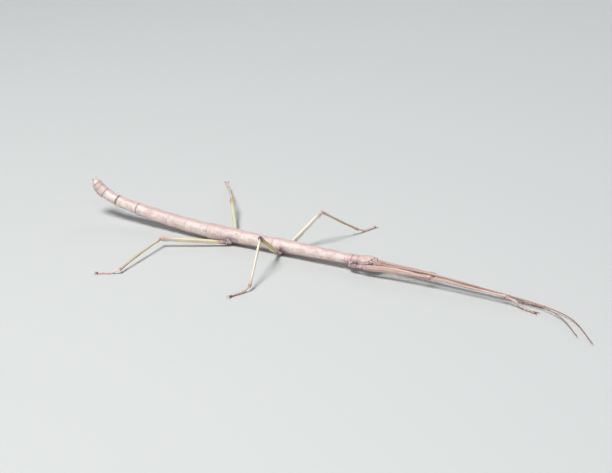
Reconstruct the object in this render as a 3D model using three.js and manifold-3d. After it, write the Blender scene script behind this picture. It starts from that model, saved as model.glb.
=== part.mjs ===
// A female walkingstick, life size: a wingless insect about 95 mm long, shaped like a twig.
// She stands on six feet, with both forelegs and both feelers stretched forward past her head.
// Millimetres. +X is forward, +Y is her left, +Z is up, and the floor is Z = 0.

import * as THREE from 'three';
import { mergeVertices } from 'three/addons/utils/BufferGeometryUtils.js';
import Module from 'manifold-3d';

const wasm = await Module();
wasm.setup();

// ---- Driving dimensions ----

const SEAM = 0.2; // open line between two neighbouring rings of the body
const JOINT_GAP = 0.3; // clear space between a piece and the one it is jointed to
const BEVEL = 0.12; // how far a ring's edge is turned in beside its seam
const WELD = 1e-4; // corners nearer than this are one corner

const TRUNK_SIDES = 16;
const HEAD_SIDES = 18;
const LEG_SIDES = 8;
const CLAW_SIDES = 4;
const FEELER_SIDES = 8;

const NECK = { x: -5.3, z: 2.92 };
const TRUNK_WIDE = 1.04; // half width of a ring over its radius
const TRUNK_TALL = 0.98; // height of its back above the middle over its radius
const BELLY_TALL = 1.0; // depth of its belly below the middle over its radius

// The trunk from neck to tail. Each ring has its length, how steeply it climbs towards the
// tail in degrees, and its radius at even steps from its front edge to its back edge.
const TRUNK = {
  prothorax: { length: 3.8, climb: -1.5, radii: [1.38, 1.54, 1.5, 1.42] },
  mesothorax: { length: 22.4, climb: -0.7, radii: [1.44, 1.54, 1.64, 1.72, 1.8, 1.9, 1.86] },
  metathorax: { length: 16.3, climb: -0.4, radii: [1.84, 1.78, 1.86, 1.96, 2.08, 2.1] },
  median_segment: { length: 4.9, climb: 0.2, radii: [2.1, 2.16, 2.2] },
  abdomen_2: { length: 7.4, climb: 2.4, radii: [2.12, 1.98, 1.98, 2.04] },
  abdomen_3: { length: 6.2, climb: 4.4, radii: [2.0, 1.9, 1.9, 1.96] },
  abdomen_4: { length: 5.8, climb: 5.8, radii: [1.92, 1.83, 1.83, 1.9] },
  abdomen_5: { length: 5.1, climb: 7.5, radii: [1.86, 1.76, 1.74, 1.8] },
  abdomen_6: { length: 7.2, climb: 10, radii: [1.76, 1.62, 1.58, 1.64] },
  abdomen_7: { length: 4.7, climb: 21, radii: [1.6, 1.56, 1.62] },
  abdomen_8: { length: 2.3, climb: 34, radii: [1.58, 1.56, 1.52] },
  abdomen_9: { length: 1.3, climb: 44, radii: [1.5, 1.46, 1.4] },
  abdomen_10: { length: 1.2, climb: 50, radii: [1.38, 1.28, 1.02] },
};

// The head from neck to brow, at even steps: half width, half height and height of its middle.
const HEAD = {
  length: 5.75,
  halfWidths: [1.28, 1.5, 1.62, 1.68, 1.62, 1.3, 0.5],
  halfHeights: [1.4, 1.6, 1.72, 1.76, 1.62, 1.22, 0.5],
  middles: [2.92, 3.0, 3.08, 3.12, 3.08, 2.9, 2.7],
};
const EYE = { x: -1.15, y: 1.34, z: 3.72, radius: 0.56 };
const MOUTH = { x: -0.35, z: 2.0, long: 1.0, wide: 0.82, tall: 0.62 };

// Feelers: each has a stout joint on the brow, and then runs in three lengths through these
// places.
const SCAPE = { x: 0.0, y: 0.6, z: 3.3, sunk: 0.8, length: 1.9, radius: 0.4, rise: 4 };
const FEELER_RADIUS = 0.25;
const FEELER_LENGTHS = 3;
const FEELERS = {
  right: [[17, -0.38, 3.6], [30, -0.38, 2.75], [46, -0.55, 1.4], [52.5, -3, 0.8], [59.8, -10.2, 0.62]],
  left: [[16.5, 0.36, 3.35], [30, 0.38, 2.35], [46.5, 0.3, 1.05], [55, -2.4, 0.7], [64.4, -12, 0.62]],
};

// Legs by kind. The hip, where the femur turns in the coxa, is given for the left side, and
// radii are the thickest of each piece. The coxa grows from inside its ring: its root is
// ahead of the hip by its lead, above it by its lift, and this far off the midline.
const LEGS = {
  fore: {
    ring: 'prothorax',
    hip: [-6.8, 2.25, 2.15],
    coxa: { lead: -0.8, off: 0.8, lift: 0.4, radius: 0.72 },
    femur: { length: 22.9, radius: 0.62, bow: 0.3, arch: 0.25 },
    tibia: { length: 21.5, radius: 0.36, arch: 0 },
    tarsus: { length: 8.1, radius: 0.33 },
  },
  middle: {
    ring: 'mesothorax',
    hip: [-29.6, 2.2, 1.15],
    coxa: { lead: 0.3, off: 0.8, lift: 0.5, radius: 0.85 },
    femur: { length: 13.4, radius: 0.6, bow: 0, arch: 0 },
    tibia: { length: 14.25, radius: 0.38, arch: -0.1 },
    tarsus: { length: 5.7, radius: 0.33 },
  },
  hind: {
    ring: 'metathorax',
    hip: [-46.0, 2.5, 1.15],
    coxa: { lead: 1.0, off: 0.9, lift: 0.7, radius: 0.95 },
    femur: { length: 17.9, radius: 0.6, bow: 0, arch: 0 },
    tibia: { length: 19.0, radius: 0.37, arch: 0.25 },
    tarsus: { length: 5.8, radius: 0.33 },
  },
};

// Stance: each piece's heading in degrees from straight ahead towards the leg's own side,
// and how far the femur and tibia rise above level. Swing is how far the coxa has turned
// the hip forwards. The tarsus comes down and lies on the floor from its landing onwards,
// a share of its length.
const STANCE = {
  right_fore: { swing: 0, femur: [-2.5, 2.1], tibia: [0, -1.9], tarsus: 9, landing: 0.8 },
  left_fore: { swing: 0, femur: [-2.6, 1.4], tibia: [-0.2, -3.9], tarsus: 1, landing: 0.6 },
  right_middle: { swing: 0, femur: [81.3, 40.3], tibia: [73.6, -36.9], tarsus: 115, landing: 0.42 },
  left_middle: { swing: 0.6, femur: [52.6, 39.4], tibia: [62.1, -35.7], tarsus: 68, landing: 0.42 },
  right_hind: { swing: 0, femur: [152, 4.8], tibia: [90.4, -4.8], tarsus: 152, landing: 0.42 },
  left_hind: { swing: 0, femur: [126.5, 11], tibia: [126.8, -10.2], tarsus: 130, landing: 0.42 },
};

const HIP_LIP = 0.1; // how far the coxa reaches past the hip, round the root of the femur
const FEMUR_NECK = 0.55; // from the hip to where the femur reaches its full width
const CUP_DEPTH = 3; // length of the hollow cut for the femur
const KNEE_END = 0.45; // how far the femur reaches past the knee's middle
const ANKLE_GAP = 0.55; // open line between the tibia and the tarsus
const NOTCH = 0.08; // half the narrowing between two joints of a tarsus
const FOOT_HEIGHT = 0.25; // middle of a tarsus that lies on the floor
const TARSOMERES = [0.42, 0.17, 0.13, 0.1, 0.18]; // lengths of its five joints over the whole
const CLAW = { length: 0.95, radius: 0.17, spread: 34, arch: 0.22, droop: 0.1, apart: 0.12 };
const PAD = { radius: 0.3, long: 1.3, flat: 0.62, ahead: 0.22 };

// A cercus starts inside the tail's last ring, this far ahead of its end and below it.
const CERCUS = { length: 1.5, radius: 0.34, splay: 22, lift: 60, off: 0.42, inset: 0.35 };

// The operculum starts ahead of ring 8 by its lead. Its middle line hangs below the trunk's
// by its drop, from front to tip, and its outline is a stretched circle, fullest in front.
const OPERCULUM = { lead: 0.9, length: 5.1, wide: 1.3, deep: 0.58, drop: [1.2, 1.48], taper: 0.35 };

// ---- Finishes ----

const FINISH = {
  trunk: { color: 0xd3b5a6, roughness: 0.5, metalness: 0 },
  head: { color: 0xcfb0a0, roughness: 0.5, metalness: 0 },
  eye: { color: 0x7b5a40, roughness: 0.25, metalness: 0 },
  mouth: { color: 0xa87660, roughness: 0.5, metalness: 0 },
  feeler: { color: 0x9a6650, roughness: 0.55, metalness: 0 },
  coxa: { color: 0x9c7f86, roughness: 0.55, metalness: 0 },
  fore: { color: 0xb98a76, roughness: 0.5, metalness: 0 },
  middle: { color: 0xb5a565, roughness: 0.5, metalness: 0 },
  hind: { color: 0xc9bf86, roughness: 0.5, metalness: 0 },
  foot: { color: 0xd2a596, roughness: 0.5, metalness: 0 },
  claw: { color: 0x7a4638, roughness: 0.35, metalness: 0 },
};

// ---- Making and joining shapes ----

const { degToRad, clamp } = THREE.MathUtils;

function piece(name, finish, geometry) {
  const mesh = new THREE.Mesh(geometry, new THREE.MeshStandardMaterial(FINISH[finish]));
  mesh.name = name;
  return mesh;
}

// A smooth value at t, from 0 to 1, along a list of values given at even steps.
function smooth(values, t) {
  const line = new THREE.SplineCurve(values.map((value, i) => new THREE.Vector2(i, value)));
  return line.getPoint(clamp(t, 0, 1)).y;
}

// A closed solid turned about +X from an outline of [distance, radius] pairs.
function turned(outline, sides) {
  const profile = [[outline[0][0], 0], ...outline, [outline.at(-1)[0], 0]];
  const points = profile.map(([along, radius]) => new THREE.Vector2(radius, along));
  return new THREE.LatheGeometry(points, sides, Math.PI / sides).rotateZ(-Math.PI / 2);
}

// Moves every corner of a shape to where the function place puts it.
function reshaped(geometry, place) {
  const corners = geometry.attributes.position;
  const corner = new THREE.Vector3();
  for (let i = 0; i < corners.count; i += 1) {
    corner.fromBufferAttribute(corners, i);
    place(corner);
    corners.setXYZ(i, corner.x, corner.y, corner.z);
  }
  return geometry;
}

// Joins the corners that meet, and drops the faces that shrink to nothing at a pole.
function welded(geometry) {
  geometry.deleteAttribute('normal');
  geometry.deleteAttribute('uv');
  const merged = mergeVertices(geometry, WELD);
  const corners = merged.index.array;
  const kept = [];
  for (let i = 0; i < corners.length; i += 3) {
    const [a, b, c] = corners.slice(i, i + 3);
    if (a !== b && b !== c && c !== a) kept.push(a, b, c);
  }
  merged.setIndex(kept);
  merged.computeVertexNormals();
  return merged;
}

function solidOf(geometry) {
  const shape = welded(geometry);
  return new wasm.Manifold(new wasm.Mesh({
    numProp: 3,
    vertProperties: new Float32Array(shape.attributes.position.array),
    triVerts: new Uint32Array(shape.index.array),
  }));
}

function geometryOf(solid) {
  const { vertProperties, triVerts } = solid.getMesh();
  const geometry = new THREE.BufferGeometry();
  geometry.setAttribute('position', new THREE.BufferAttribute(vertProperties, 3));
  geometry.setIndex(new THREE.BufferAttribute(triVerts, 1));
  geometry.computeVertexNormals();
  return geometry;
}

// Bends a turned shape along a curve. A corner's X runs along the curve, and its Y and Z
// keep to the curve's own side and top. Past either end it goes on straight.
function alongCurve(geometry, curve, length, start = 0) {
  return reshaped(geometry, (corner) => {
    const along = start + corner.x;
    const inside = clamp(along, 0, length);
    const forward = curve.getTangentAt(inside / length);
    const side = new THREE.Vector3(0, 0, 1).cross(forward).normalize();
    const up = forward.clone().cross(side);
    const place = curve.getPointAt(inside / length).addScaledVector(forward, along - inside);
    place.addScaledVector(side, corner.y);
    place.addScaledVector(up, corner.z);
    corner.copy(place);
  });
}

// ---- Trunk ----

function trunkJoints() {
  const joints = [new THREE.Vector3(NECK.x, 0, NECK.z)];
  for (const { length, climb } of Object.values(TRUNK)) {
    const angle = degToRad(climb);
    const step = new THREE.Vector3(-Math.cos(angle), 0, Math.sin(angle));
    joints.push(joints.at(-1).clone().addScaledVector(step, length));
  }
  return joints;
}

const trunkLine = new THREE.CatmullRomCurve3(trunkJoints());
trunkLine.arcLengthDivisions = 1000;
const trunkLength = Object.values(TRUNK).reduce((sum, ring) => sum + ring.length, 0);

// Distance from the neck to the front edge of a ring, along the trunk.
function ringStart(name) {
  const before = Object.keys(TRUNK).indexOf(name);
  return Object.values(TRUNK).slice(0, before).reduce((sum, ring) => sum + ring.length, 0);
}

// One ring of the trunk, with its skin moved out by grow where it is used to cut a neighbour.
function ringShape(name, grow = 0) {
  const { length, radii } = TRUNK[name];
  const from = SEAM / 2 - grow;
  const to = length - SEAM / 2 + grow;
  const steps = radii.length - 1;
  const outline = [[from, radii[0] + grow - BEVEL]];
  for (let i = 0; i <= steps; i += 1) {
    const along = THREE.MathUtils.lerp(from + BEVEL, to - BEVEL, i / steps);
    outline.push([along, smooth(radii, i / steps) + grow]);
  }
  outline.push([to, radii.at(-1) + grow - BEVEL]);
  const round = reshaped(turned(outline, TRUNK_SIDES), (corner) => {
    corner.y *= TRUNK_WIDE;
    corner.z *= corner.z > 0 ? TRUNK_TALL : BELLY_TALL;
  });
  return alongCurve(round, trunkLine, trunkLength, ringStart(name));
}

function makeTrunk() {
  const trunk = new THREE.Group();
  for (const name of Object.keys(TRUNK)) {
    trunk.add(piece(name, 'trunk', welded(ringShape(name))));
  }
  return trunk;
}

// ---- Tail ----

// A pair of short feelers at the tail's end, one on each side.
function makeCerci() {
  const cerci = new THREE.Group();
  const end = trunkLine.getPointAt(1);
  for (const [side, sign] of [['left', 1], ['right', -1]]) {
    const { length, radius, splay, lift, off, inset } = CERCUS;
    const outline = [
      [0, radius],
      [0.35 * length, radius],
      [0.8 * length, 0.7 * radius],
      [length, 0.35 * radius],
    ];
    const cercus = turned(outline, LEG_SIDES);
    cercus.rotateY(-degToRad(180 - lift)).rotateX(-sign * degToRad(splay));
    cercus.translate(end.x + inset, sign * off, end.z - inset);
    const cut = solidOf(cercus).subtract(solidOf(ringShape('abdomen_10', SEAM)));
    cerci.add(piece(`cercus_${side}`, 'trunk', geometryOf(cut)));
  }
  return cerci;
}

// The boat-shaped plate under the last rings, ending in a blunt point.
function makeOperculum() {
  const { lead, length, wide, deep, drop, taper } = OPERCULUM;
  const steps = 6;
  const outline = [];
  for (let i = 0; i <= steps; i += 1) {
    const t = i / steps;
    const bulge = 1 - (2 * t - 0.9) ** 2 / 1.25;
    outline.push([t * length, Math.sqrt(Math.max(0.03, bulge))]);
  }
  const plate = reshaped(turned(outline, TRUNK_SIDES - 4), (corner) => {
    const t = corner.x / length;
    corner.y *= wide * (1 - taper * t * t);
    corner.z = corner.z * deep - THREE.MathUtils.lerp(...drop, t);
  });
  const start = ringStart('abdomen_8') - lead;
  let shell = solidOf(alongCurve(plate, trunkLine, trunkLength, start));
  for (const name of ['abdomen_7', 'abdomen_8', 'abdomen_9', 'abdomen_10']) {
    shell = shell.subtract(solidOf(ringShape(name, SEAM)));
  }
  return piece('operculum', 'trunk', geometryOf(largest(shell)));
}

// The biggest of the pieces that a cut leaves.
function largest(solid) {
  return solid.decompose().reduce((best, one) => (one.volume() > best.volume() ? one : best));
}

// ---- Head ----

function headShape(grow = 0) {
  const steps = 2 * (HEAD.halfWidths.length - 1);
  const outline = [];
  for (let i = 0; i <= steps; i += 1) {
    outline.push([THREE.MathUtils.lerp(SEAM / 2 - grow, HEAD.length + grow, i / steps), 1]);
  }
  return reshaped(turned(outline, HEAD_SIDES), (corner) => {
    const t = corner.x / HEAD.length;
    corner.x += NECK.x;
    corner.y *= smooth(HEAD.halfWidths, t) + grow;
    corner.z = corner.z * (smooth(HEAD.halfHeights, t) + grow) + smooth(HEAD.middles, t);
  });
}

function makeHead() {
  const head = new THREE.Group();
  const clear = solidOf(headShape(SEAM / 2));
  head.add(piece('head', 'head', welded(headShape())));

  const mouth = new THREE.SphereGeometry(1, 10, 7).scale(MOUTH.long, MOUTH.wide, MOUTH.tall);
  mouth.translate(MOUTH.x, 0, MOUTH.z);
  head.add(piece('mouthparts', 'mouth', geometryOf(largest(solidOf(mouth).subtract(clear)))));

  for (const [side, sign] of [['left', 1], ['right', -1]]) {
    const eye = new THREE.SphereGeometry(EYE.radius, 10, 7).translate(EYE.x, sign * EYE.y, EYE.z);
    head.add(piece(`eye_${side}`, 'eye', geometryOf(largest(solidOf(eye).subtract(clear)))));

    const scape = scapeShape();
    scape.translate(SCAPE.x, sign * SCAPE.y, SCAPE.z);
    const rooted = solidOf(scape).subtract(clear);
    head.add(piece(`feeler_${side}_base`, 'feeler', geometryOf(largest(rooted))));
  }
  return head;
}

// ---- Feelers ----

// The stout first joint of a feeler.
function scapeShape() {
  const { sunk, length, radius, rise } = SCAPE;
  const outline = [
    [-sunk, 0.8 * radius],
    [0.3 * length, radius],
    [0.8 * length, radius],
    [length, 0.75 * radius],
  ];
  return turned(outline, FEELER_SIDES).rotateY(-degToRad(rise));
}

function makeFeelers() {
  const feelers = new THREE.Group();
  for (const [side, sign] of [['left', 1], ['right', -1]]) {
    const rise = degToRad(SCAPE.rise);
    const reach = SCAPE.length;
    const root = new THREE.Vector3(
      SCAPE.x + reach * Math.cos(rise),
      sign * SCAPE.y,
      SCAPE.z + reach * Math.sin(rise),
    );
    const places = FEELERS[side].map((place) => new THREE.Vector3(...place));
    const path = new THREE.CatmullRomCurve3([root, ...places]);
    const length = path.getLength();
    const each = length / FEELER_LENGTHS;
    for (let n = 0; n < FEELER_LENGTHS; n += 1) {
      const steps = 5 + 2 * n; // the further out, the more it bends
      const outline = [];
      for (let i = 0; i <= steps; i += 1) {
        outline.push([THREE.MathUtils.lerp(SEAM, each, i / steps), FEELER_RADIUS]);
      }
      const shape = alongCurve(turned(outline, FEELER_SIDES), path, length, n * each);
      feelers.add(piece(`feeler_${side}_${n + 1}`, 'feeler', welded(shape)));
    }
  }
  return feelers;
}

// ---- Legs ----

// A unit direction from a heading and a rise, mirrored to the leg's own side.
function direction([heading, rise], sign) {
  const turn = degToRad(heading);
  const lift = degToRad(rise);
  return new THREE.Vector3(
    Math.cos(lift) * Math.cos(turn),
    sign * Math.cos(lift) * Math.sin(turn),
    Math.sin(lift),
  );
}

// Stands a piece at a place, its length along a direction and its top as near up as it can be.
function pointed(mesh, place, forward) {
  const side = new THREE.Vector3(0, 0, 1).cross(forward).normalize();
  const up = forward.clone().cross(side);
  mesh.position.copy(place);
  mesh.quaternion.setFromRotationMatrix(new THREE.Matrix4().makeBasis(forward, side, up));
  return mesh;
}

// A thigh: a narrow root, an even shaft and a round knee at its end. It may bow outwards
// near its root, to pass the head, and arch a little upwards.
function femurShape({ length, radius, bow, arch }, sign) {
  const knee = 1.12 * radius;
  const outline = [
    [JOINT_GAP, 0.5 * radius],
    [FEMUR_NECK, 0.85 * radius],
    [1.3, 0.9 * radius],
    [2.0, 0.76 * radius],
    [0.2 * length, 0.94 * radius],
    [0.45 * length, radius],
    [0.7 * length, 0.94 * radius],
    [length - 2.2, 0.9 * radius],
    [length - 0.5, knee],
    [length + 0.1, knee],
    [length + KNEE_END, 0.6 * knee],
  ];
  return reshaped(turned(outline, LEG_SIDES), (corner) => {
    const t = clamp(corner.x / length, 0, 1);
    corner.y = 0.92 * corner.y + sign * bow * Math.sin(Math.PI * Math.min(1, 2 * t)) ** 2;
    corner.z += arch * Math.sin(Math.PI * t);
  });
}

// A shin: a thin shaft, slightly arched, that widens a little at both ends.
function tibiaShape({ length, radius, arch }) {
  const start = KNEE_END + JOINT_GAP;
  const end = length - ANKLE_GAP / 2;
  const outline = [
    [start, 0.8 * radius],
    [start + 0.35, 1.12 * radius],
    [start + 1.6, 0.96 * radius],
    [0.5 * length, 0.9 * radius],
    [end - 1.4, 0.94 * radius],
    [end - 0.4, 1.12 * radius],
    [end, 0.75 * radius],
  ];
  return reshaped(turned(outline, LEG_SIDES), (corner) => {
    corner.z += arch * Math.sin(Math.PI * clamp(corner.x / length, 0, 1));
  });
}

// A foot of five joints. It comes down from the ankle and lies flat along the floor.
function tarsusShape({ length, radius }, drop, landing) {
  const outline = [];
  let joint = 0;
  for (const share of TARSOMERES) {
    const from = joint * length;
    joint += share;
    outline.push([Math.max(from + NOTCH, ANKLE_GAP / 2), 0.86 * radius]);
    outline.push([joint * length - NOTCH, 1.08 * radius]);
  }
  return reshaped(turned(outline, LEG_SIDES), (corner) => {
    const down = drop * THREE.MathUtils.smoothstep(corner.x, 0, landing * length);
    corner.z = Math.max(corner.z - down, -drop - FOOT_HEIGHT);
  });
}

// Two hooked claws on either side of a round pad.
function clawShape() {
  const { length, radius, spread, arch, droop, apart } = CLAW;
  const arc = new THREE.QuadraticBezierCurve3(
    new THREE.Vector3(0, 0, 0),
    new THREE.Vector3(0.6 * length, 0, arch),
    new THREE.Vector3(length, 0, -droop),
  );
  const outline = [
    [0, radius],
    [0.35 * length, 0.9 * radius],
    [0.7 * length, 0.65 * radius],
    [0.95 * length, 0.3 * radius],
  ];
  const pad = new THREE.SphereGeometry(PAD.radius, 7, 5).scale(PAD.long, 1, PAD.flat);
  let solid = solidOf(pad.translate(PAD.ahead, 0, 0));
  for (const sign of [-1, 1]) {
    const hook = alongCurve(turned(outline, CLAW_SIDES), arc, length);
    hook.rotateZ(sign * degToRad(spread)).translate(0, sign * apart, 0);
    solid = solid.add(solidOf(hook));
  }
  return geometryOf(solid);
}

// Moves a shape the way pointed moves a mesh.
function aimed(geometry, place, forward) {
  const stand = pointed(new THREE.Object3D(), place, forward);
  stand.updateMatrix();
  return geometry.applyMatrix4(stand.matrix);
}

// The short joint that carries a leg. It is cut to the side of its ring, and cupped where
// the root of the thigh turns in it.
function coxaShape({ ring, coxa, femur }, root, hip, femurWay) {
  const forward = hip.clone().sub(root);
  const length = forward.length() + HIP_LIP;
  const cone = turned([
    [0, coxa.radius],
    [0.55 * length, coxa.radius],
    [0.8 * length, 0.85 * coxa.radius],
    [length, 0.5 * coxa.radius],
  ], LEG_SIDES + 2);
  const cup = turned([
    [0, 0.3 * femur.radius],
    [JOINT_GAP, 0.7 * femur.radius],
    [FEMUR_NECK, 1.1 * femur.radius],
    [CUP_DEPTH, 1.25 * femur.radius],
  ], LEG_SIDES);
  const cut = solidOf(aimed(cone, root, forward.normalize()))
    .subtract(solidOf(ringShape(ring, SEAM / 2)))
    .subtract(solidOf(aimed(cup, hip, femurWay)));
  return geometryOf(largest(cut));
}

function makeLeg(kind, side) {
  const leg = new THREE.Group();
  const { hip, coxa, femur, tibia, tarsus } = LEGS[kind];
  const pose = STANCE[`${side}_${kind}`];
  const sign = side === 'left' ? 1 : -1;
  const name = (part) => `${side}_${kind}_${part}`;

  const still = new THREE.Vector3(hip[0], sign * hip[1], hip[2]);
  const hipPlace = still.clone().setX(still.x + pose.swing);
  const root = new THREE.Vector3(still.x + coxa.lead, sign * coxa.off, still.z + coxa.lift);
  const femurWay = direction(pose.femur, sign);
  leg.add(piece(name('coxa'), 'coxa', coxaShape(LEGS[kind], root, hipPlace, femurWay)));
  leg.add(pointed(piece(name('femur'), kind, welded(femurShape(femur, sign))), hipPlace, femurWay));

  const knee = hipPlace.clone().addScaledVector(femurWay, femur.length);
  const tibiaWay = direction(pose.tibia, sign);
  leg.add(pointed(piece(name('tibia'), kind, welded(tibiaShape(tibia))), knee, tibiaWay));

  const ankle = knee.clone().addScaledVector(tibiaWay, tibia.length);
  const drop = ankle.z - FOOT_HEIGHT;
  const foot = new THREE.Group();
  pointed(foot, ankle, direction([pose.tarsus, 0], sign));
  foot.add(piece(name('tarsus'), 'foot', welded(tarsusShape(tarsus, drop, pose.landing))));

  const claws = piece(name('claws'), 'claw', clawShape());
  claws.position.set(tarsus.length + PAD.radius, 0, -drop);
  foot.add(claws);
  leg.add(foot);
  return leg;
}

// ---- The whole insect ----

const walkingstick = new THREE.Group();
walkingstick.add(makeHead(), makeFeelers(), makeTrunk(), makeCerci(), makeOperculum());
for (const kind of Object.keys(LEGS)) {
  walkingstick.add(makeLeg(kind, 'left'), makeLeg(kind, 'right'));
}

// The origin is on the floor, under the middle of the whole outline.
const box = new THREE.Box3().setFromObject(walkingstick, true);
const middle = box.getCenter(new THREE.Vector3());
walkingstick.position.set(-middle.x, -middle.y, -box.min.z);

const model = new THREE.Group();
model.add(walkingstick);

export default model;
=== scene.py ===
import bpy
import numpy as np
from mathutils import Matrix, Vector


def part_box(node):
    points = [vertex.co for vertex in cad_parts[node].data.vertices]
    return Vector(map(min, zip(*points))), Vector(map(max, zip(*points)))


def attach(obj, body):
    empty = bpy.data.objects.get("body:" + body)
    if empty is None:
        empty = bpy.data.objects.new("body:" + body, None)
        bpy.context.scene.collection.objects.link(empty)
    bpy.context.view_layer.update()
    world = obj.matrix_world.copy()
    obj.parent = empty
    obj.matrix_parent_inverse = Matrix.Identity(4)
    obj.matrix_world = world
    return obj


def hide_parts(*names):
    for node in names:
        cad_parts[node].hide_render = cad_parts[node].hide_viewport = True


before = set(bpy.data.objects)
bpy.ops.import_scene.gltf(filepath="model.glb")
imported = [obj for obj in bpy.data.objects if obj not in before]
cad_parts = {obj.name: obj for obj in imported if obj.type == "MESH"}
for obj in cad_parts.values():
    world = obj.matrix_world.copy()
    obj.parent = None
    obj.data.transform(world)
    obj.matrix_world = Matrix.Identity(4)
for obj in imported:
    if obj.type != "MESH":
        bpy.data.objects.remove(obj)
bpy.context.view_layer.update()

# A female walkingstick, life size: the skin, head, legs, feelers and tail that dress the
# solids of the frame. +X is forward, +Y to her left and +Z up, and the floor is at Z = 0.
# Every surface is worked out on a grid of two numbers, how far along a piece a point lies and
# how far round it, and its places come from rings of corners measured on the frame.
# Places are in metres. Distances along, beside and above a line, and radii, are in
# millimetres. Angles round a piece are in degrees, from its side over its back.

# ---- Sizes ----

MM = 0.001
UP = np.array([0.0, 0.0, 1.0])
BACK, BELLY = 90, -90

RINGS = ("prothorax", "mesothorax", "metathorax", "median_segment") + tuple(
    f"abdomen_{n}" for n in range(2, 11))
SIDES = {"left": 1, "right": -1}
KINDS = ("fore", "middle", "hind")

# Corners in a ring of the frame's solids, and how far apart along a solid one ring's may lie.
TRUNK_FACETS, HEAD_FACETS, LEG_FACETS = 16, 18, 8
SAME_RING = 0.05

# Points round each skin, and the distance between its rings.
ROUND = {"trunk": 96, "head": 120, "operculum": 48, "eye": 48, "coxa": 32, "femur": 36,
         "tibia": 32, "tarsus": 24, "feeler": 12}
STEP = {"trunk": 0.16, "head": 0.055, "operculum": 0.06, "femur": 0.09, "tibia": 0.08,
        "tarsus": 0.05, "feeler": 0.11}

# Where a camera stands: the place it looks at, ahead of the neck, to its left and above it,
# its distance, and its angles round the upright, above level and about its own axis.
AIM = np.array([-16.16, 0.0, 3.81]) * MM
CAMERA = {"distance": 420 * MM, "azimuth": 32, "elevation": 24, "roll": -2.5, "wide": 22}

# Each joint between two rings of the trunk: how deep it is cut, how far the ring before it
# stands proud, and how dark and how wide its line is.
JOINTS = {
    "mesothorax": (0.12, 0.05, 0.35, 0.14),
    "metathorax": (0.09, 0.05, 0.35, 0.16),
    "median_segment": (0.035, 0.01, 0.2, 0.14),
    "abdomen_2": (0.05, 0.03, 0.3, 0.14),
    "abdomen_3": (0.05, 0.03, 0.25, 0.14),
    "abdomen_4": (0.05, 0.03, 0.2, 0.14),
    "abdomen_5": (0.05, 0.03, 0.2, 0.14),
    "abdomen_6": (0.08, 0.05, 0.8, 0.2),
    "abdomen_7": (0.1, 0.06, 1.0, 0.34),
    "abdomen_8": (0.1, 0.06, 0.7, 0.18),
    "abdomen_9": (0.1, 0.06, 0.5, 0.16),
    "abdomen_10": (0.1, 0.06, 0.5, 0.16),
}

# The angles of marks that both flanks of the trunk and both cheeks carry.
FLANK_FOLD, FLANK_LINE, SPIRACLE_LINE, CHEEK_LINE = -24, -38, -8, -38
COXA_HUMP, COXA_PATCH = -22, -20
PRONOTUM_FOLD = 1.75  # how far behind the neck a groove crosses the first ring
BELLY_PLATE = 34  # degrees from the middle of the belly to the edge of its plates

# Rings of relief, and dark lines, round the legs: height or darkness, place and width. The
# place is a distance from the thigh's or shin's root, and at knee and ankle back from its end.
TROCHANTER_GROOVE, TROCHANTER_RIM = (-0.06, 1.55, 0.12), (0.03, 1.25, 0.15)
TROCHANTER_LINE = (0.5, 1.55, 0.13)
KNEE_RIM, KNEE_DENT, KNEE_LINE = (0.02, 1.25, 0.2), (-0.05, 1.0, 0.25), (0.3, 1.45, 0.16)
SHIN_SWELL, SHIN_NECK, SHIN_LINE = (0.03, 0.45, 0.3), (-0.05, -0.1, 0.2), (0.35, -0.1, 0.25)
ANKLE_RIM, ANKLE_LINE = (0.02, 0.55, 0.25), (0.4, 0.2, 0.2)

# How far the fore thighs' edges stand out, and how much each swells above.
LOWER_EDGE = 0.17
UPPER_EDGE = {"left": 0.0, "right": 0.17}
UPPER_SWELL = {"left": (-0.2, 11.0, 5.6), "right": (0.32, 11.0, 5.6)}

# Colours, as red, green and blue of plain light.
PALE = (0.80, 0.70, 0.66)
PINK = (0.55, 0.36, 0.35)
TAN = (0.38, 0.22, 0.17)
CREAM = (0.72, 0.66, 0.50)
UMBER = (0.055, 0.025, 0.018)
RUST = (0.34, 0.12, 0.08)
PLUM = (0.18, 0.10, 0.14)
ORANGE = (0.56, 0.30, 0.13)
BLUSH = (0.64, 0.42, 0.38)


# ---- Numbers along a line ----

def spline(at, knots, values):
    """Smooth values between knots: a cubic on each stretch, whose slope at a knot is that of
    the curve through the knot and its two neighbours."""
    knots = np.asarray(knots, float)
    values = np.asarray(values, float)
    slopes = np.gradient(values, knots, axis=0)
    at = np.clip(at, knots[0], knots[-1])
    i = np.clip(np.searchsorted(knots, at) - 1, 0, len(knots) - 2)
    span = knots[i + 1] - knots[i]
    t = (at - knots[i]) / span
    if values.ndim > 1:
        t, span = t[..., None], span[..., None]
    return ((1 + 2 * t) * (1 - t) ** 2 * values[i] + t * (1 - t) ** 2 * span * slopes[i]
            + t * t * (3 - 2 * t) * values[i + 1] - t * t * (1 - t) * span * slopes[i + 1])


def bell(x, middle, width):
    """One at the middle, falling off on both sides as exp(-(distance / width) squared)."""
    return np.exp(-((x - middle) / width) ** 2)


def ridges(x, *shapes):
    """The sum of bells, each given as its height, its middle and its width."""
    return sum(height * bell(x, middle, width) for height, middle, width in shapes)


def rise(x, start, end):
    """Zero before start, one after end, and the curve t t (3 - 2 t) between them."""
    t = np.clip((x - start) / (end - start), 0, 1)
    return t * t * (3 - 2 * t)


def between(x, start, full, fading, end):
    """Zero before start and after end, and one from full to fading."""
    return rise(x, start, full) * (1 - rise(x, fading, end))


def apart(turn, angle):
    """How far an angle round a piece is from another, in degrees, the short way."""
    return (np.degrees(turn) - angle + 180) % 360 - 180


def facing(turn, angle, width):
    """A bell round a piece, about one angle."""
    return bell(apart(turn, angle), 0, width)


def off_flanks(turn, angle):
    """How far an angle round a piece is from another or that one's mirror, the nearer."""
    return np.minimum(np.abs(apart(turn, angle)), np.abs(apart(turn, 180 - angle)))


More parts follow.
